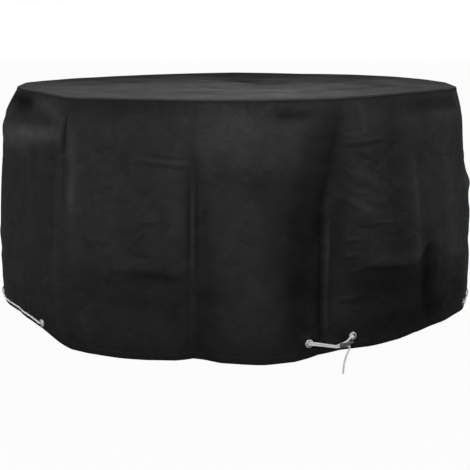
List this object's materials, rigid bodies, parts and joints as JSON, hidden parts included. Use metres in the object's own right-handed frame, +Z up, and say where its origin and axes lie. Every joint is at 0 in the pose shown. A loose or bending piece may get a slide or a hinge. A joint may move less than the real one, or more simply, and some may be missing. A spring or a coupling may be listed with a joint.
{
  "type": "patio furniture cover",
  "caption": "Round fitted cover for patio furniture: a soft drum of coated cloth, open below, with a drawcord run through metal eyelets in its hem and a cord slider in front.",
  "frame": {"origin": "underside of the top panel at its middle, where the furniture carries it", "axes": "+Z up, front (the side with the cord slider) towards -Y, +X to the right seen from the front"},
  "size_m": [1.8857, 1.8797, 0.8966],
  "materials": {
    "cover_fabric_top": "black coated woven cloth, low sheen",
    "cover_fabric_wall": "black coated woven cloth, low sheen",
    "eyelet_metal": "pressed, satin",
    "cord_white": "white braided cord",
    "slider_grey": "dark grey, matt"
  },
  "bodies": {
    "root": {"top_panel": "cover_fabric_top", "wall_panel": "cover_fabric_wall", "eyelet_1": "eyelet_metal", "eyelet_2": "eyelet_metal", "eyelet_3": "eyelet_metal", "eyelet_4": "eyelet_metal", "eyelet_5": "eyelet_metal", "eyelet_6": "eyelet_metal", "eyelet_7": "eyelet_metal", "eyelet_8": "eyelet_metal", "drawcord": "cord_white", "cord_tail": "cord_white", "cord_stop": "cord_white", "cord_slider": "slider_grey"}
  },
  "joints": []
}
